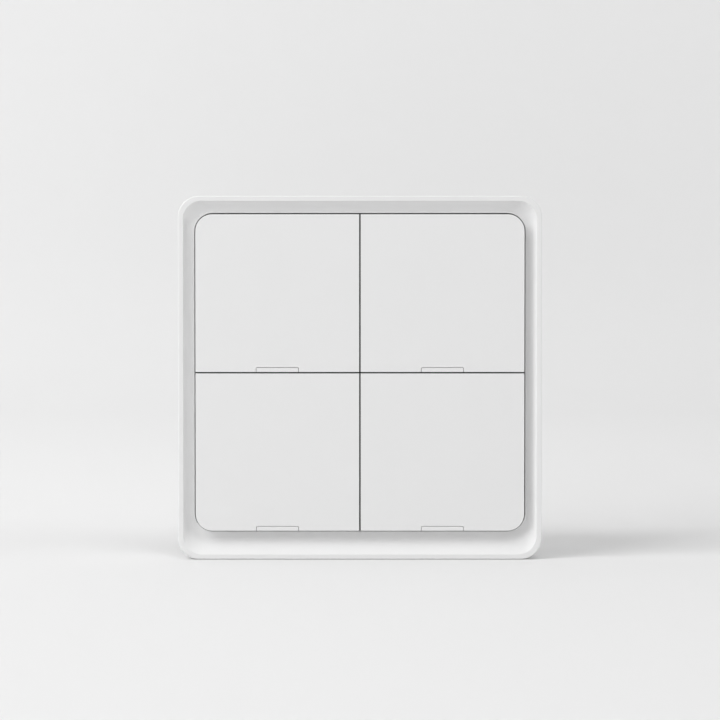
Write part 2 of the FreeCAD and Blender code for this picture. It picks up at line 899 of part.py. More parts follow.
def isolation_transformer():
    """Ferrite core round a bobbin, standing on the power board."""
    z = transformer_bottom + transformer_length / 2
    depth = (power_back, power_back + transformer_height)
    core = box(around(transformer_x, transformer_width), depth, around(z, transformer_length / 2))
    middle = (depth[0] + depth[1]) / 2
    window = transformer_height - 2 * core_wall
    core = core.cut(box(around(transformer_x, transformer_width - 2 * core_wall),
                        around(middle, window), around(z, transformer_length)))
    bobbin = box(around(transformer_x, transformer_width - 2 * core_wall),
                 around(middle, window), around(z, transformer_length))
    feet = box(around(transformer_x, transformer_width - 2 * core_wall),
               (power_back, power_back + core_wall), around(z, transformer_length))
    return core.fuse([bobbin, feet])


def bulk_capacitor():
    """Electrolytic can, standing on the power board."""
    return rod(capacitor_radius, capacitor_x, (power_back, power_back + capacitor_height),
               transformer_bottom + capacitor_radius)


def fuse():
    """Box-shaped fuse beside the capacitor."""
    back = power_back + fuse_height
    body = box(around(fuse_x, fuse_width), (power_back, back),
               (transformer_bottom, transformer_bottom + fuse_length))
    return body.makeChamfer(relay_edge, edges_at(body, back))


def varistor():
    """Disc varistor on its two leads."""
    y = power_back + varistor_stand + varistor_radius
    z = transformer_bottom + varistor_radius
    low = varistor_x - varistor_thickness / 2
    disc = Part.makeCylinder(varistor_radius, varistor_thickness, V(low, y, z), X_AXIS)
    leads = [box(around(varistor_x, 2 * varistor_lead), (power_back, y),
                 around(z + side * varistor_radius / 2, 2 * varistor_lead)) for side in (-1, 1)]
    return disc.fuse(leads)


def main():
    """Build every sub-part and write its file."""
    os.makedirs("parts", exist_ok=True)
    export("face_frame", face_frame())
    for name, column, row, x, bottom, top in key_places():
        export("key_" + name, key(column, row, x, bottom, top))
        export("light_guide_" + name, light_guide(x, bottom))
        export("plunger_" + name, plunger(x, top))
    export("key_carrier", key_carrier())
    export("control_board", control_board())
    export("board_screws", board_screws())
    export("tact_switch_bodies", tact_switch_bodies())
    export("status_leds", status_leds())
    export("control_chip", control_chip())
    export("radio_board", radio_board())
    export("radio_shield", radio_shield())
    export("pin_header", pin_header())
    export("pin_socket", pin_socket())
    export("mounting_yoke", mounting_yoke())
    export("rear_housing", rear_housing())
    export("housing_screws", housing_screws())
    export("power_board", power_board())
    export("power_board_screws", power_board_screws())
    export("terminal_block", terminal_block())
    export("terminal_cages", terminal_cages())
    export("terminal_screws", terminal_screws())
    for index in range(relay_count):
        export(f"relay_{index + 1}", relay(index))
    export("isolation_transformer", isolation_transformer())
    export("bulk_capacitor", bulk_capacitor())
    export("fuse", fuse())
    export("varistor", varistor())


main()
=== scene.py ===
# %% [markdown]
# # A four-key light switch
#
# The switch is a square white plate with four large flat keys in it. A concave band, the cove,
# falls from the plate's thin rim to the keys, and each key has a slim window for its light at the
# bottom. Behind the plate a steel yoke carries a housing, which disappears in the wall.
#
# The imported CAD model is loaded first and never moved. Pieces that need softer edges or finer
# curves than the CAD model has are made here in its place, in the same frame and in metres.

import json
import math

import bmesh
import bpy
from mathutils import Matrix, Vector


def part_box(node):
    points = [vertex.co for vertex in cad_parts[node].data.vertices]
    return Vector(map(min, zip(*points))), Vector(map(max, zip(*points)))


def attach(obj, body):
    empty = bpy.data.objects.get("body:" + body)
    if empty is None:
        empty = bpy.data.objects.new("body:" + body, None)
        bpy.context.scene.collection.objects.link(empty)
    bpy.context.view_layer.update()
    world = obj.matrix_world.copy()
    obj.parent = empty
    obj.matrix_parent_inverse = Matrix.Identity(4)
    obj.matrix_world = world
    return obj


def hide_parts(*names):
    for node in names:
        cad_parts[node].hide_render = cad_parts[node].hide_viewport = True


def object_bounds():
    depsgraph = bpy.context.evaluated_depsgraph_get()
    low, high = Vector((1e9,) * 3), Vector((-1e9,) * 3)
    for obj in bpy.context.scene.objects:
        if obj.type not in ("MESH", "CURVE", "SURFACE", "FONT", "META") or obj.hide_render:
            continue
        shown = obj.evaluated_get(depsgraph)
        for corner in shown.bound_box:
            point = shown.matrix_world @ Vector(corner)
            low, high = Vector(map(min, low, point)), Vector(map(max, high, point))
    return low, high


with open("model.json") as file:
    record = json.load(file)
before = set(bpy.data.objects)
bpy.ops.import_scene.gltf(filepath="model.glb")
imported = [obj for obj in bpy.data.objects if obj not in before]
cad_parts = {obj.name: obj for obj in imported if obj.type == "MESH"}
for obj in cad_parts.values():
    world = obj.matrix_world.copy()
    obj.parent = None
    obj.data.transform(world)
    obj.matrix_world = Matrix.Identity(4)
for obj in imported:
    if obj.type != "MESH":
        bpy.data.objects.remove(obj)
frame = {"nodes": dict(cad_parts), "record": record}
cad_low, cad_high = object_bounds()
MM = 0.001
KEY_NAMES = ("top_left", "top_right", "bottom_left", "bottom_right")
body_of_node = {node: body for body, nodes in frame["record"]["behaviour"]["bodies"].items()
                for node in nodes}

# %% [markdown]
# ## The camera
#
# The photograph looks almost straight at the keys from a little above, with a long lens, so the
# sides of the plate don't show. The picture's width at the plate is the real size that one pixel
# stands for, times the pixels. The lens follows from it and from the distance.

# %% Camera
plate_low, plate_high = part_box("face_frame")
picture_width = 170.1 * MM
camera_distance = 600 * MM
camera_rise = 20 * MM
aim_side, aim_rise = 0.02 * MM, 4.25 * MM
aim = Vector((aim_side, plate_low.y, aim_rise))

camera = bpy.data.objects.new("camera", bpy.data.cameras.new("camera"))
camera.data.sensor_width = 36
camera.data.lens = camera.data.sensor_width * camera_distance / picture_width
camera.location = (aim.x, aim.y - camera_distance, camera_rise)
camera.rotation_euler = (aim - camera.location).to_track_quat("-Z", "Y").to_euler()
camera.data.clip_start, camera.data.clip_end = 0.05, 20
bpy.context.collection.objects.link(camera)
bpy.context.scene.camera = camera
bpy.context.scene.view_settings.view_transform = "Standard"
print(f"lens {camera.data.lens:.0f} mm")

# %% [markdown]
# ## Materials
#
# The white parts are fine matt mouldings. The mould gives them a faint grain that can be seen
# only by the way the light breaks on it, so the grain is a very shallow bump from noise, with a
# little of it in the roughness. The colour varies by less than one part in a hundred. All
# patterns read Object coordinates, which stay fixed to the part.

# %% A material with a grain
def node_of(tree, kind, operation=None, **inputs):
    """A new node of a kind, with its operation, and with its inputs set by name."""
    node = tree.nodes.new(kind)
    if operation:
        node.operation = operation
    for name, value in inputs.items():
        node.inputs[name.replace("_", " ")].default_value = value
    return node


def grained(name, color, roughness, grain_scale=900.0, grain_depth=0.004, spread=0.02,
            metallic=0.0, stretch=(1, 1, 1), mottle_scale=60.0):
    """A finish with fine grain in its bump and roughness, and a slow drift in its colour."""
    material = bpy.data.materials.new(name)
    material.use_nodes = True
    tree = material.node_tree
    link = tree.links.new
    shader = tree.nodes["Principled BSDF"]
    shader.inputs["Metallic"].default_value = metallic
    coordinates = node_of(tree, "ShaderNodeTexCoord")
    placing = node_of(tree, "ShaderNodeMapping", Scale=stretch)
    link(coordinates.outputs["Object"], placing.inputs["Vector"])

    grain = node_of(tree, "ShaderNodeTexNoise", Scale=grain_scale, Detail=3.0, Roughness=0.6)
    link(placing.outputs["Vector"], grain.inputs["Vector"])
    bump = node_of(tree, "ShaderNodeBump", Strength=1.0, Distance=grain_depth * MM)
    link(grain.outputs["Fac"], bump.inputs["Height"])
    link(bump.outputs["Normal"], shader.inputs["Normal"])

    rough = node_of(tree, "ShaderNodeMapRange", To_Min=roughness - spread,
                    To_Max=roughness + spread)
    link(grain.outputs["Fac"], rough.inputs["Value"])
    link(rough.outputs["Result"], shader.inputs["Roughness"])

    mottle = node_of(tree, "ShaderNodeTexNoise", Scale=mottle_scale, Detail=2.0)
    link(placing.outputs["Vector"], mottle.inputs["Vector"])
    drift = spread / 4
    blend = node_of(tree, "ShaderNodeMix")
    blend.data_type = "RGBA"
    blend.inputs["A"].default_value = (*[c * (1 - drift) for c in color], 1)
    blend.inputs["B"].default_value = (*[min(1, c * (1 + drift)) for c in color], 1)
    link(mottle.outputs["Fac"], blend.inputs["Factor"])
    link(blend.outputs["Result"], shader.inputs["Base Color"])
    return material


print("a grained finish can be made")

# %% [markdown]
# Every finish is the same recipe with other figures. Bare metal is the recipe with its metallic
# share at 1, a wider spread of roughness and, on the pressed yoke, a grain that is stretched into
# short streaks by scaling one axis of its pattern.

# %% Finishes
materials_before = len(bpy.data.materials)
white_face = grained("white_face_moulding", (0.80, 0.80, 0.80), 0.62)
milky_window = grained("milky_light_window", (0.80, 0.80, 0.80), 0.50, grain_depth=0.002)
carrier_dark = grained("dark_carrier_moulding", (0.06, 0.06, 0.065), 0.60)
housing_white = grained("white_housing_moulding", (0.72, 0.72, 0.71), 0.55, grain_depth=0.006)
terminal_grey = grained("grey_terminal_moulding", (0.55, 0.56, 0.57), 0.50, grain_depth=0.006)
yoke_zinc = grained("zinc_plated_yoke", (0.60, 0.60, 0.61), 0.30, grain_scale=160.0,
                    grain_depth=0.012, spread=0.16, metallic=1.0, stretch=(1, 1, 10),
                    mottle_scale=25.0)
screw_zinc = grained("zinc_plated_screws", (0.62, 0.62, 0.63), 0.32, grain_scale=1200.0,
                     spread=0.06, metallic=1.0)
shield_tin = grained("tin_plated_shield", (0.66, 0.66, 0.66), 0.35, spread=0.06, metallic=1.0)
cage_brass = grained("terminal_brass", (0.78, 0.62, 0.30), 0.34, spread=0.08, metallic=1.0)
board_green = grained("green_board_lacquer", (0.04, 0.16, 0.08), 0.40, spread=0.05)
switch_black = grained("black_switch_body", (0.05, 0.05, 0.05), 0.50)
plunger_cream = grained("plunger_moulding", (0.75, 0.75, 0.73), 0.50)
led_clear = grained("status_light", (0.85, 0.80, 0.55), 0.20)
connector_black = grained("connector_moulding", (0.04, 0.04, 0.04), 0.45)
relay_black = grained("relay_case", (0.03, 0.03, 0.03), 0.30)
core_ferrite = grained("ferrite_core", (0.12, 0.12, 0.12), 0.70, grain_depth=0.02, spread=0.06)
can_sleeve = grained("capacitor_sleeve", (0.08, 0.10, 0.18), 0.30)
fuse_black = grained("fuse_case", (0.10, 0.10, 0.10), 0.45)
disc_blue = grained("varistor_coating", (0.08, 0.20, 0.45), 0.45, spread=0.05)
print(len(bpy.data.materials) - materials_before, "finishes made")

# %% [markdown]
# ## Rings and skins
#
# Nearly everything here is moulded or pressed, so its outline is a rounded rectangle that changes
# from front to back. A ring is such an outline as a list of points. A piece is a skin over its
# rings, and an edge is softened by more rings round it. One ring on each side of a soft edge lies
# on the flat beside it and keeps that flat from shading as if it were curved.

# %% Rings
CORNERS = ((1, 1), (-1, 1), (-1, -1), (1, -1))


def ring(width, height, corner, y, z=0.0, steps=14):
    """The points of a rounded rectangle at the depth y, from the top right corner round."""
    points = []
    for quarter, (side, level) in enumerate(CORNERS):
        for step in range(steps + 1):
            turn = (quarter + step / steps) * math.pi / 2
            points.append(Vector((side * (width / 2 - corner) + corner * math.cos(turn), y,
                                  z + level * (height / 2 - corner) + corner * math.sin(turn))))
    return points


def between(a, b, share):
    """The ring at a share of the way from ring a to ring b."""
    return [p.lerp(q, share) for p, q in zip(a, b)]


def soften(rings, radii, steps=5, hold=0.05 * MM):
    """Round the edge at each ring whose radius isn't 0. The first ring follows the last."""
    soft = []
    for index, (edge, radius) in enumerate(zip(rings, radii)):
        if radius == 0:
            soft.append(edge)
            continue
        sides = []
        for other in (rings[index - 1], rings[(index + 1) % len(rings)]):
            gap = max((p - q).length for p, q in zip(edge, other))
            sides.append((between(edge, other, radius / gap),
                          between(edge, other, min(1, (radius + hold) / gap))))
        (start, start_hold), (end, end_hold) = sides
        soft.append(start_hold)
        for step in range(steps + 1):
            t = step / steps
            soft.append(between(between(start, edge, t), between(edge, end, t), t))
        soft.append(end_hold)
    return soft


print(len(ring(1, 1, 0.1, 0)), "points in a ring")

# %% [markdown]
# The mesh gets its faces by number, and bmesh then merges doubled points and turns all faces
# outwards. Smooth shading with sharp edges marked by their angle keeps the flats flat.

# %% Skins
MERGE_DISTANCE = 0.001 * MM


def finish_mesh(mesh, sharp_deg=35):
    """Merge doubled points, turn the faces outwards and mark the sharp edges."""
    work = bmesh.new()
    work.from_mesh(mesh)
    bmesh.ops.remove_doubles(work, verts=work.verts, dist=MERGE_DISTANCE)
    bmesh.ops.recalc_face_normals(work, faces=work.faces)
    work.to_mesh(mesh)
    work.free()
    mesh.shade_smooth()
    mesh.set_sharp_from_angle(angle=math.radians(sharp_deg))


def new_object(name, data):
    """An object at the origin that holds a mesh or a lamp, linked to the scene."""
    item = bpy.data.objects.new(name, data)
    bpy.context.collection.objects.link(item)
    return item


def new_piece(name, points, faces, material=None):
    """A mesh object with its faces turned outwards, smooth except at sharp edges."""
    mesh = bpy.data.meshes.new(name)
    mesh.from_pydata(points, [], faces)
    finish_mesh(mesh)
    if material:
        mesh.materials.append(material)
    return new_object(name, mesh)


def skin(name, rings, material):
    """A piece over rings of the same count. The last ring is joined to the first."""
    count = len(rings[0])
    points = [p for one in rings for p in one]
    faces = []
    for row in range(len(rings)):
        here, there = row * count, (row + 1) % len(rings) * count
        for k in range(count):
            n = (k + 1) % count
            faces.append((here + k, here + n, there + n, there + k))
    return new_piece(name, points, faces, material)


print(f"points closer than {MERGE_DISTANCE / MM:g} mm are merged")

# %% [markdown]
# ## The face frame
#
# One moulding: a square rim with soft edges, the cove that falls steeply at the rim and runs out
# nearly flat at the keys, and a box behind. It could be carved with booleans, but one section
# that is carried round the plate gives the cove its true curve. Every point of the section is a
# ring, and the last ring meets the first.

# %% Sizes of the face frame
plate_size = plate_high.x - plate_low.x
rim_front, frame_back = plate_low.y, -0.3 * MM
plate_corner = 5.0 * MM
frame_wall = 1.8 * MM
rim_width = 1.2 * MM
rim_opening = plate_size - 2 * rim_width
cove_depth = 1.8 * MM
cove_corner = 4.4 * MM
cove_start, cove_end = math.radians(60), math.radians(8)
cove_steps = 22
field_corner = 4.0 * MM
collar_wall, collar_roof = 1.0 * MM, 1.2 * MM
carrier_front = -6.0 * MM
outer_back_rounding, rim_rounding, cove_top_rounding = 0.2 * MM, 0.3 * MM, 0.1 * MM
cove_foot_rounding, inner_back_rounding = 0.08 * MM, 0.1 * MM

key_boxes = {name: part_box("key_" + name) for name in KEY_NAMES}
key_face = key_boxes["top_left"][0].y
key_gap = key_boxes["top_right"][0].x - key_boxes["top_left"][1].x
field_low = Vector((key_boxes["bottom_left"][0].x, 0, key_boxes["bottom_left"][0].z))
field_high = Vector((key_boxes["top_right"][1].x, 0, key_boxes["top_right"][1].z))
field_rise = (field_low.z + field_high.z) / 2
opening_width = field_high.x - field_low.x + 2 * key_gap
opening_height = field_high.z - field_low.z + 2 * key_gap
opening_corner = field_corner + key_gap
roof_level = rim_front + cove_depth + collar_roof
pocket_size = plate_size - 2 * frame_wall
print(f"opening {opening_width / MM:.2f} by {opening_height / MM:.2f} mm")

# %% [markdown]
# Each kind of ring gets a short function. The section then lists the rings in order, from the
# outer back edge over the rim, down the cove and through the opening to the inner back edge, with
# the rounding that each ring's edge gets.

# %% Section of the face frame
def plate_ring(y):
    return ring(plate_size, plate_size, plate_corner, y)


def opening_ring(grow, y):
    return ring(opening_width + 2 * grow, opening_height + 2 * grow, opening_corner + grow, y,
                z=field_rise)


def pocket_ring(y):
    return ring(pocket_size, pocket_size, plate_corner - frame_wall, y)


def cove_ring(step):
    """One ring of the cove: steep at the rim, nearly flat at the keys."""
    angle = cove_start + (cove_end - cove_start) * step / cove_steps
    across = ((math.sin(cove_start) - math.sin(angle))
              / (math.sin(cove_start) - math.sin(cove_end)))
    down = ((math.cos(angle) - math.cos(cove_start))
            / (math.cos(cove_end) - math.cos(cove_start)))
    return ring(rim_opening + (opening_width - rim_opening) * across,
                rim_opening + (opening_height - rim_opening) * across,
                cove_corner + (opening_corner - cove_corner) * across,
                rim_front + cove_depth * down, z=field_rise * across)


section = [plate_ring(frame_back), plate_ring(rim_front)]
edge_radii = [outer_back_rounding, rim_rounding]
section += [cove_ring(step) for step in range(cove_steps + 1)]
edge_radii += [cove_top_rounding] + [0] * (cove_steps - 1) + [cove_foot_rounding]
section += [opening_ring(0, carrier_front), opening_ring(collar_wall, carrier_front),
            opening_ring(collar_wall, roof_level), pocket_ring(roof_level),
            pocket_ring(frame_back)]
edge_radii += [0, 0, 0, 0, inner_back_rounding]
face_shell = skin("face_frame_shell", soften(section, edge_radii), white_face)
print(len(face_shell.data.polygons), "faces in the frame")

# %% [markdown]
# The frame's bottom edge has a slot for a screwdriver that levers it off the wall. At the back
# four wedge-shaped ledges hold the carrier, and four nubs at the sides snap into the yoke's tabs.
# They are plain shapes, so booleans cut the slot and add the rest.

# %% Cutting and adding
def block(name, low, high, material=None):
    """A plain box between two corners, for cutters and small hidden parts."""
    points = [(x, y, z) for x in (low[0], high[0]) for y in (low[1], high[1])
              for z in (low[2], high[2])]
    faces = [(0, 1, 3, 2), (4, 6, 7, 5), (0, 4, 5, 1), (2, 3, 7, 6), (0, 2, 6, 4), (1, 5, 7, 3)]
    return new_piece(name, points, faces, material)


def settle(piece):
    """Turn a piece's modifiers into its plain mesh."""
    graph = bpy.context.evaluated_depsgraph_get()
    mesh = bpy.data.meshes.new_from_object(piece.evaluated_get(graph))
    piece.modifiers.clear()
    piece.data = mesh


def combine(piece, other, operation):
    """Cut the other piece out (DIFFERENCE) or add it (UNION), and delete the other."""
    boolean = piece.modifiers.new("combine", "BOOLEAN")
    boolean.operation = operation
    boolean.solver = "EXACT"
    boolean.object = other
    settle(piece)
    bpy.data.objects.remove(other)
    finish_mesh(piece.data)


def join(piece, *others):
    """Add the others' meshes to the piece's mesh, and delete the others."""
    work = bmesh.new()
    work.from_mesh(piece.data)
    for other in others:
        work.from_mesh(other.data)
        bpy.data.objects.remove(other)
    work.to_mesh(piece.data)
    work.free()
    finish_mesh(piece.data)
    return piece


def stand_for(piece, node):
    """Let the piece stand for a CAD node: hide the node and put the piece on the node's body."""
    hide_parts(node)
    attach(piece, body_of_node[node])


print("pieces can be cut, joined and put in a CAD node's place")

# %% Slot, ledges and nubs
pry_width, pry_height = 10.0 * MM, 1.6 * MM
small_part_level = 20.0 * MM
ledge_length, ledge_depth = 10.0 * MM, 0.5 * MM
ledge_front, ledge_back = -4.35 * MM, -3.55 * MM
nub_length, nub_reach = 7.2 * MM, 2.0 * MM
nub_front, nub_back = -3.1 * MM, -1.9 * MM
root = 0.15 * MM
half_pocket = pocket_size / 2


def wedge(name, low_x, high_x, level):
    """A ledge that is flat in front and slopes back to the wall above or below it."""
    corners = ((ledge_front, half_pocket + root), (ledge_front, half_pocket - ledge_depth),
               (ledge_back, half_pocket), (ledge_back, half_pocket + root))
    points = [(x, y, level * z) for x in (low_x, high_x) for y, z in corners]
    sides = [(k, (k + 1) % 4, (k + 1) % 4 + 4, k + 4) for k in range(4)]
    return new_piece(name, points, [(0, 1, 2, 3), (4, 5, 6, 7)] + sides, white_face)


pry_slot = block("pry_slot", (-pry_width / 2, frame_back - pry_height, -plate_size / 2 - MM),
                 (pry_width / 2, MM, -half_pocket + root))
combine(face_shell, pry_slot, "DIFFERENCE")
small_parts = []
for level in (-1, 1):
    for side in (-1, 1):
        middle_x, middle_z = side * small_part_level, level * small_part_level
        small_parts.append(wedge("ledge", middle_x - ledge_length / 2,
                                 middle_x + ledge_length / 2, level))
        low_x, high_x = sorted((side * (half_pocket + root), side * (half_pocket - nub_reach)))
        small_parts.append(block("nub", (low_x, nub_front, middle_z - nub_length / 2),
                                 (high_x, nub_back, middle_z + nub_length / 2), white_face))
combine(face_shell, join(*small_parts), "UNION")
stand_for(face_shell, "face_frame")
print(len(small_parts), "ledges and nubs")

# %% [markdown]
# ## Pieces that keep their CAD shape
#
# The other mouldings have every rib, hole and hook in the CAD model, so a copy of the CAD mesh is
# worked on. A CAD mesh is loose triangles: the copy's doubled points are merged and its flat
# facets joined before a Bevel modifier gives every sharp edge the radius of a real moulding.

# %% Softened copies
flat_angle = math.radians(1)


def join_flats(work):
    """Join faces that lie in one plane."""
    bmesh.ops.dissolve_limit(work, angle_limit=flat_angle, verts=work.verts, edges=work.edges)


def merged_copy(node):
    """A copy of a CAD node's mesh to work on, with its flat facets joined."""
    work = bmesh.new()
    work.from_mesh(frame["nodes"][node].data)
    bmesh.ops.remove_doubles(work, verts=work.verts, dist=MERGE_DISTANCE)
    join_flats(work)
    return work


def soften_all(piece, width, sharp_deg=40, segments=3):
    """Bevel every sharp edge of a finished shape, with the flats kept flat."""
    bevel = piece.modifiers.new("soft edges", "BEVEL")
    bevel.width = width
    bevel.segments = segments
    bevel.limit_method = "ANGLE"
    bevel.angle_limit = math.radians(sharp_deg)
    bevel.harden_normals = True
    settle(piece)


def moulding(node, work, width, material):
    """A piece that stands for the node, made from the worked copy, with its edges softened."""
    mesh = bpy.data.meshes.new(node + "_moulding")
    work.to_mesh(mesh)
    work.free()
    finish_mesh(mesh)
    mesh.materials.append(material)
    piece = new_object(node + "_moulding", mesh)
    soften_all(piece, width)
    stand_for(piece, node)
    return piece


print("softened copies can be made")

# %% [markdown]
# ## The keys
#
# The CAD key has its skirt, ribs, hinge ears, hooks and post, and a plain chamfer round its face.
# A moulded key has a finer edge than that. So the front of each copy is cut off behind the
# chamfer, its open rim is drawn forward again to the face, and one narrow bevel softens every
# edge.

# %% Keys
front_cut = 0.4 * MM
cut_tolerance = 0.00001 * MM
key_softness = 0.06 * MM


def key_piece(name):
    """A copy of one CAD key with a finer edge round its face."""
    work = merged_copy("key_" + name)
    bmesh.ops.bisect_plane(work, geom=work.verts[:] + work.edges[:] + work.faces[:],
                           dist=cut_tolerance, plane_co=(0, key_face + front_cut, 0),
                           plane_no=(0, -1, 0), clear_outer=True)
    rim = [edge for edge in work.edges if edge.is_boundary]
    drawn = bmesh.ops.extrude_edge_only(work, edges=rim)["geom"]
    front = [item for item in drawn if isinstance(item, bmesh.types.BMVert)]
    bmesh.ops.translate(work, verts=front, vec=(0, -front_cut, 0))
    loop = [item for item in drawn if isinstance(item, bmesh.types.BMEdge)]
    bmesh.ops.contextual_create(work, geom=loop)
    join_flats(work)
    return moulding("key_" + name, work, key_softness, white_face)


key_pieces = [key_piece(name) for name in KEY_NAMES]
print(len(key_pieces), "keys of", len(key_pieces[0].data.polygons), "faces")

# %% [markdown]
# ## The light windows
#
# A milky bar fills each notch, flush with the key, and a fine dark seam is left round it. The bar
# is a copy of the CAD shape whose front is drawn in a little, as the draft of a mould does.

# %% Light windows
window_softness, window_draft = 0.03 * MM, 0.06 * MM
for name in KEY_NAMES:
    node = "light_guide_" + name
    work = merged_copy(node)
    middle = (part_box(node)[0].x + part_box(node)[1].x) / 2
    front = [vert for vert in work.verts if vert.co.y < key_face + window_draft]
    top = max(vert.co.z for vert in front)
    for vert in front:
        vert.co.x -= math.copysign(window_draft, vert.co.x - middle)
        vert.co.z = min(vert.co.z, top - window_draft)
    piece = moulding(node, work, window_softness, milky_window)
    print(node, len(piece.data.polygons), "faces")

# %% [markdown]
# ## The back: yoke, housing and terminals
#
# The yoke is pressed from sheet steel, and the carrier, the housing and the terminal block are
# moulded. Copies of their CAD shapes get the small edge radius that pressing and moulding leave.

# %% Back parts
for node, softness, material in (
        ("mounting_yoke", 0.15 * MM, yoke_zinc),
        ("rear_housing", 0.3 * MM, housing_white),
        ("terminal_block", 0.2 * MM, terminal_grey),
        ("key_carrier", 0.15 * MM, carrier_dark)):
    piece = moulding(node, merged_copy(node), softness, material)
    print(node, len(piece.data.polygons), "faces")

# %% [markdown]
# ## The screws
#
# All screws are one design in different sizes: a bevelled pan head with a cross recess, on a
# plain shank. Geometry Nodes build one screw from the sizes that the modifier is given, so the
# tree starts with an input for each size. A modifier sets them by their identifiers, which are
# kept in a dictionary.

# %% Inputs of the screw tree
SCREW_SIZES = ("Head Radius", "Head Height", "Shank Radius", "Shank Length", "Recess Width",
               "Recess Depth", "Turn")
screw_tree = bpy.data.node_groups.new("screw_set", "GeometryNodeTree")


def add_socket(name, kind, way="INPUT"):
    """Add a socket to the screw tree and return its identifier."""
    socket = screw_tree.interface.new_socket(name, in_out=way, socket_type="NodeSocket" + kind)
    return socket.identifier


add_socket("Geometry", "Geometry")
socket_of = {size: add_socket(size, "Float") for size in SCREW_SIZES}
socket_of["Material"] = add_socket("Material", "Material")
add_socket("Geometry", "Geometry", way="OUTPUT")
given = node_of(screw_tree, "NodeGroupInput").outputs
result = node_of(screw_tree, "NodeGroupOutput")
print(len(socket_of), "inputs for a set of screws")

# %% [markdown]
# A tree is easier to read when short functions make its nodes: one for a sum, one that links a
# new node's inputs by name, and two for the sums and moves that the screw needs again and again.

# %% Helpers for node trees
def math_of(tree, operation, *terms):
    """The output of a math node whose terms are other outputs or plain numbers."""
    node = node_of(tree, "ShaderNodeMath", operation)
    for target, term in zip(node.inputs, terms):
        if isinstance(term, (int, float)):
            target.default_value = term
        else:
            tree.links.new(term, target)
    return node.outputs[0]


def screw_node(kind, operation=None, **sources):
    """A node of the screw tree whose inputs take other nodes' outputs, by name."""
    node = node_of(screw_tree, kind, operation)
    for name, source in sources.items():
        screw_tree.links.new(source, node.inputs[name.replace("_", " ")])
    return node


def scaled(output, factor):
    """A node's output times a plain number."""
    return math_of(screw_tree, "MULTIPLY", output, factor)


def lifted(mesh, height):
    """The mesh moved along the screw's axis by a node's output."""
    offset = screw_node("ShaderNodeCombineXYZ", Z=height).outputs[0]
    return screw_node("GeometryNodeTransform", Geometry=mesh, Translation=offset).outputs[0]


print("helpers for the screw tree are ready")

# %% [markdown]
# The screw's wall is a stack of open rings with the same number of points, with a filled circle
# at each end, so that they merge into one closed skin. Its seat, the underside of the head, is at
# the level 0.

# %% Body of the screw
points_round = 36
straight_share, top_share = 0.62, 0.8


def wall(low_radius, high_radius, start, depth=None):
    """An open ring of faces from one radius to another. Without a depth it lies flat."""
    cone = screw_node("GeometryNodeMeshCone", Radius_Bottom=low_radius, Radius_Top=high_radius)
    cone.fill_type = "NONE"
    cone.inputs["Vertices"].default_value = points_round
    cone.inputs["Depth"].default_value = 0
    if depth:
        screw_tree.links.new(depth, cone.inputs["Depth"])
    return lifted(cone.outputs["Mesh"], start)


def cap(radius, level, flipped=False):
    """A filled circle that closes one end."""
    circle = screw_node("GeometryNodeMeshCircle", Radius=radius)
    circle.fill_type = "NGON"
    circle.inputs["Vertices"].default_value = points_round
    disc = circle.outputs["Mesh"]
    if flipped:
        disc = screw_node("GeometryNodeFlipFaces", Mesh=disc).outputs["Mesh"]
    return lifted(disc, level)


head, head_top, shank = given["Head Radius"], given["Head Height"], given["Shank Radius"]
seat_level = scaled(head_top, 0)
bevel_start = scaled(head_top, straight_share)
shank_end = scaled(given["Shank Length"], -1)
stack = node_of(screw_tree, "GeometryNodeJoinGeometry")
for part in (cap(shank, shank_end, flipped=True),
             wall(shank, shank, shank_end, given["Shank Length"]),
             wall(shank, head, seat_level),
             wall(head, head, seat_level, bevel_start),
             wall(head, scaled(head, top_share), bevel_start,
                  scaled(head_top, 1 - straight_share)),
             cap(scaled(head, top_share), head_top)):
    screw_tree.links.new(part, stack.inputs["Geometry"])
body = screw_node("GeometryNodeMergeByDistance", Geometry=stack.outputs["Geometry"])
body.inputs["Distance"].default_value = MERGE_DISTANCE
print(len(screw_tree.nodes), "nodes so far")

# %% [markdown]
# Two crossed bars cut the recess. They are centred on the head's top, so they are about twice as
# high as the recess is deep. One is a little lower than the other, because a boolean handles faces
# that lie in one plane badly. The screw is then set on every seat point, and Realize Instances
# turns the copies into real faces, since the export drops instances.

# %% Recess and seats
bar_length_share = 1.1
cross = node_of(screw_tree, "GeometryNodeMeshBoolean", "UNION")
for across, along, depths in (("X", "Y", 2), ("Y", "X", 1.9)):
    bar_size = screw_node("ShaderNodeCombineXYZ", **{
        across: given["Recess Width"], along: scaled(head, bar_length_share),
        "Z": scaled(given["Recess Depth"], depths)}).outputs[0]
    bar = screw_node("GeometryNodeMeshCube", Size=bar_size).outputs["Mesh"]
    screw_tree.links.new(lifted(bar, head_top), cross.inputs["Mesh 2"])
recessed = screw_node("GeometryNodeMeshBoolean", "DIFFERENCE", Mesh_1=body.outputs["Geometry"],
                      Mesh_2=cross.outputs["Mesh"])
facing = screw_node("ShaderNodeCombineXYZ", X=given["Turn"])
seats = screw_node("GeometryNodeInstanceOnPoints", Points=given["Geometry"],
                   Instance=recessed.outputs["Mesh"], Rotation=facing.outputs[0])
realize = screw_node("GeometryNodeRealizeInstances", Geometry=seats.outputs["Instances"])
paint = screw_node("GeometryNodeSetMaterial", Geometry=realize.outputs["Geometry"],
                   Material=given["Material"])
screw_tree.links.new(paint.outputs["Geometry"], result.inputs["Geometry"])
print(len(screw_tree.nodes), "nodes in the whole tree")

# %% [markdown]
# The screws of a set sit in even steps in the box of their CAD node, so its corners give their
# places. A set faces the wall or the room: the heads are on that side.

# %% Screw sets on their seats
recess_width_share, recess_depth_share = 0.28, 0.6


def spread_out(low, high, count, inset):
    """Places in even steps between two ends, set in from them, or the middle for one."""
    shares = [k / (count - 1) for k in range(count)] if count > 1 else [0.5]
    return [low + inset + (high - low - 2 * inset) * share for share in shares]


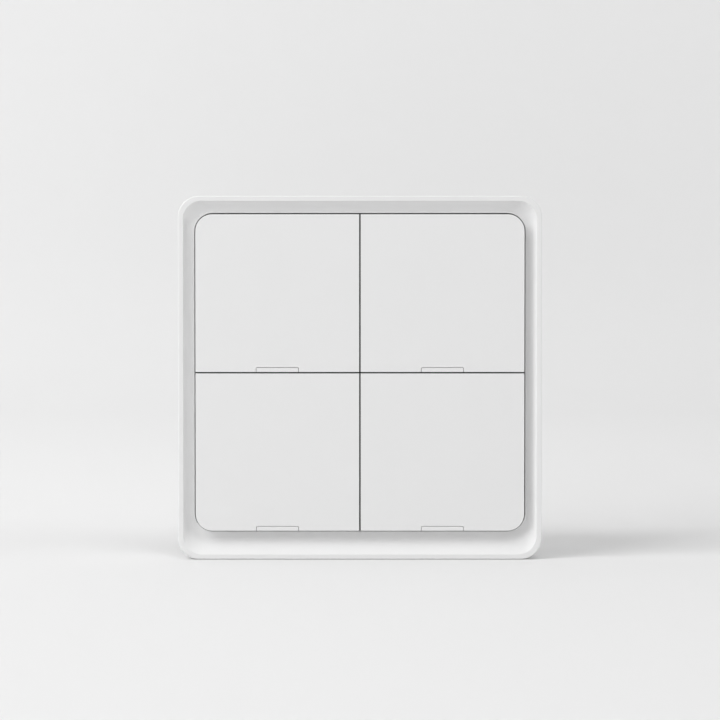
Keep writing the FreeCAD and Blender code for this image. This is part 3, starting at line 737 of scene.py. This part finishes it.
def screw_set(node, columns, rows, head_radius, head_height, shank_radius, towards_wall=True):
    """Screws on an even grid that fills the CAD node's box."""
    low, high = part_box(node)
    seat = high.y - head_height if towards_wall else low.y + head_height
    points = [(x, seat, z) for x in spread_out(low.x, high.x, columns, head_radius)
              for z in spread_out(low.z, high.z, rows, head_radius)]
    mesh = bpy.data.meshes.new(node + "_set")
    mesh.from_pydata(points, [], [])
    piece = new_object(node + "_set", mesh)
    modifier = piece.modifiers.new("screws", "NODES")
    modifier.node_group = screw_tree
    values = {"Head Radius": head_radius, "Head Height": head_height,
              "Shank Radius": shank_radius,
              "Shank Length": seat - low.y if towards_wall else high.y - seat,
              "Recess Width": head_radius * recess_width_share,
              "Recess Depth": head_height * recess_depth_share,
              "Turn": math.radians(-90 if towards_wall else 90), "Material": screw_zinc}
    for size, value in values.items():
        modifier[socket_of[size]] = value
    settle(piece)
    finish_mesh(piece.data)
    stand_for(piece, node)
    print(node, len(points), "screws,", len(piece.data.polygons), "faces")


screw_set("housing_screws", 2, 2, 2.6 * MM, 2.0 * MM, 1.45 * MM)
screw_set("terminal_screws", 6, 1, 2.2 * MM, 1.8 * MM, 1.5 * MM)
screw_set("board_screws", 2, 2, 1.9 * MM, 1.0 * MM, 0.95 * MM)
screw_set("power_board_screws", 2, 1, 2.2 * MM, 1.4 * MM, 1.2 * MM, towards_wall=False)

# %% [markdown]
# ## Finishes for the parts kept from the CAD model
#
# What stays as it is gets its finish here, slot by slot.

# %% Finishes by slot
finish_of_slot = {
    "face_plastic": white_face, "light_guide_plastic": milky_window,
    "carrier_plastic": carrier_dark, "circuit_board": board_green, "yoke_steel": yoke_zinc,
    "screw_steel": screw_zinc, "shield_steel": shield_tin, "housing_plastic": housing_white,
    "terminal_plastic": terminal_grey, "terminal_brass": cage_brass,
    "switch_plastic": switch_black, "plunger_plastic": plunger_cream, "led_plastic": led_clear,
    "connector_plastic": connector_black, "relay_plastic": relay_black,
    "transformer_core": core_ferrite, "capacitor_can": can_sleeve, "fuse_plastic": fuse_black,
    "varistor_ceramic": disc_blue}
for part in frame["record"]["subparts"]:
    mesh = frame["nodes"][part["node"]].data
    mesh.materials.clear()
    mesh.materials.append(finish_of_slot[part["material_slot"]])
print(len(finish_of_slot), "slots have a finish")

# %% [markdown]
# ## Floor and backdrop
#
# The switch stands on a white sweep: a floor that curves up into a wall, so that no line shows
# behind the switch. It is one strip of faces along a profile, many times wider than the picture.

# %% Sweep
floor_level = cad_low.z - 0.02 * MM
sweep_start, sweep_radius = 75 * MM, 70 * MM
sweep_steps = 24
sweep_width = 4.0
front_end, wall_top = -3.0, 2.5
profile = [(front_end, floor_level), (sweep_start, floor_level)]
for step in range(1, sweep_steps + 1):
    angle = step / sweep_steps * math.pi / 2
    profile.append((sweep_start + sweep_radius * math.sin(angle),
                    floor_level + sweep_radius * (1 - math.cos(angle))))
profile.append((sweep_start + sweep_radius, wall_top))
sweep_points = [(side * sweep_width / 2, y, z) for y, z in profile for side in (-1, 1)]
sweep_faces = [(2 * k, 2 * k + 1, 2 * k + 3, 2 * k + 2) for k in range(len(profile) - 1)]
sweep_mesh = bpy.data.meshes.new("sweep")
sweep_mesh.from_pydata(sweep_points, [], sweep_faces)
sweep_mesh.shade_smooth()
sweep = new_object("sweep", sweep_mesh)
sweep_white = bpy.data.materials.new("sweep_white")
sweep_white.use_nodes = True
sweep_tree = sweep_white.node_tree
sweep_shader = sweep_tree.nodes["Principled BSDF"]
sweep_shader.inputs["Roughness"].default_value = 0.9
sweep_mesh.materials.append(sweep_white)
print(len(sweep_faces), "faces in the sweep")

# %% [markdown]
# Where the floor bends up it faces the lamps more squarely than the floor and the wall do, and
# would show as a bright band. So the grey of the sweep follows the way it faces, and painted shade
# makes the bend a little darker, which evens it out. Painted shade also darkens it towards its
# left end, which is nearer to the lamps and would burn out in the views from the right.

# %% Painted shade on the sweep
wall_tone, bend_shaded_grey, floor_tone = 0.825, 0.725, 0.75
bend_stop = 0.6
fade_start, end_share = 0.15, 0.6
surface = node_of(sweep_tree, "ShaderNodeNewGeometry")
facing_parts = node_of(sweep_tree, "ShaderNodeSeparateXYZ")
# The grey follows which way the sweep faces: painted shade, darkest at the bend.
tone = node_of(sweep_tree, "ShaderNodeValToRGB")
tone.color_ramp.elements.new(bend_stop)
for stop, grey in zip(tone.color_ramp.elements, (wall_tone, bend_shaded_grey, floor_tone)):
    stop.color = (grey, grey, grey, 1)
coordinates = node_of(sweep_tree, "ShaderNodeTexCoord")
place_parts = node_of(sweep_tree, "ShaderNodeSeparateXYZ")
# Painted shade: the grey falls off towards the left end, which is nearest the lamps.
left_end_shade = node_of(sweep_tree, "ShaderNodeMapRange", From_Min=-fade_start,
               From_Max=-sweep_width / 2, To_Min=1, To_Max=end_share)
painted_shade_grey = node_of(sweep_tree, "ShaderNodeVectorMath", "SCALE")
for output, target in (
        (surface.outputs["Normal"], facing_parts.inputs[0]),
        (facing_parts.outputs["Z"], tone.inputs["Fac"]),
        (coordinates.outputs["Object"], place_parts.inputs[0]),
        (place_parts.outputs["X"], left_end_shade.inputs["Value"]),
        (tone.outputs["Color"], painted_shade_grey.inputs[0]),
        (left_end_shade.outputs["Result"], painted_shade_grey.inputs["Scale"]),
        (painted_shade_grey.outputs[0], sweep_shader.inputs["Base Color"])):
    sweep_tree.links.new(output, target)
print(len(tone.color_ramp.elements), "tones along the sweep")

# %% [markdown]
# The sweep is seen through from behind and from below, so that every side of the switch can be
# looked at. It also lets through the light rays that start right at it, or the underside of the
# plate, which stands on it, would be black from below.

# %% See-through sides of the sweep
contact_reach = 0.3 * MM
ray = node_of(sweep_tree, "ShaderNodeLightPath")
starts_here = math_of(sweep_tree, "LESS_THAN", ray.outputs["Ray Length"], contact_reach)
open_side = math_of(sweep_tree, "MAXIMUM", surface.outputs["Backfacing"], starts_here)
see_through = node_of(sweep_tree, "ShaderNodeBsdfTransparent")
either_side = node_of(sweep_tree, "ShaderNodeMixShader")
shown = sweep_tree.nodes["Material Output"].inputs["Surface"]
for output, target in (
        (open_side, either_side.inputs[0]),
        (sweep_shader.outputs[0], either_side.inputs[1]),
        (see_through.outputs[0], either_side.inputs[2]),
        (either_side.outputs[0], shown)):
    sweep_tree.links.new(output, target)
print(len(sweep_tree.nodes), "nodes in the sweep's material")

# %% [markdown]
# ## The light
#
# The world is a plain white that gives only a little light. The camera sees it brighter, and so
# do reflections, since metal would otherwise mirror a dim room.

# %% World
world = bpy.data.worlds.new("studio")
bpy.context.scene.world = world
world.use_nodes = True
world_strength, world_seen = 0.185, 0.65
world_tree = world.node_tree
world_ray = node_of(world_tree, "ShaderNodeLightPath").outputs
seen_directly = math_of(world_tree, "MAXIMUM", world_ray["Is Camera Ray"],
                        world_ray["Is Glossy Ray"])
seen = math_of(world_tree, "MAXIMUM", seen_directly, world_ray["Is Transmission Ray"])
world_level = node_of(world_tree, "ShaderNodeMapRange", To_Min=world_strength,
                      To_Max=world_seen)
background = world_tree.nodes["Background"]
background.inputs["Color"].default_value = (1, 1, 1, 1)
world_tree.links.new(seen, world_level.inputs["Value"])
world_tree.links.new(world_level.outputs["Result"], background.inputs["Strength"])
print("the world gives", world_strength, "and shows as", world_seen)

# %% [markdown]
# A large soft lamp at the upper left in front gives the keys most of their light. A low lamp on
# the left brightens the right half of the cove and throws the shadow on the floor to the right. A
# lamp above and two on the right open the shadows. They are weak enough for the keys, the rim
# and the flat sides of the plate to stay short of pure white.

# %% Lamps
def lamp(name, left_deg, up_deg, power, distance=5.0, size=1.7):
    """A square lamp that looks at the switch from so far round to the left and so far up."""
    left, up = math.radians(left_deg), math.radians(up_deg)
    spot = Vector((-math.sin(left) * math.cos(up), -math.cos(left) * math.cos(up),
                   math.sin(up))) * distance
    light = bpy.data.lights.new(name, "AREA")
    light.shape = "SQUARE"
    light.size = size
    light.energy = power
    item = new_object(name, light)
    item.location = spot
    item.rotation_euler = (-spot).to_track_quat("-Z", "Y").to_euler()


lamp("main_lamp", 52, 42, 11.7, distance=1.4, size=0.9)
lamp("low_main_lamp", 65, 12, 45)
lamp("top_fill_lamp", -20, 60, 40)
lamp("right_fill_lamp", -50, 45, 19)
lamp("low_fill_lamp", -80, 8, 56)
print(len(bpy.data.lights), "lamps")
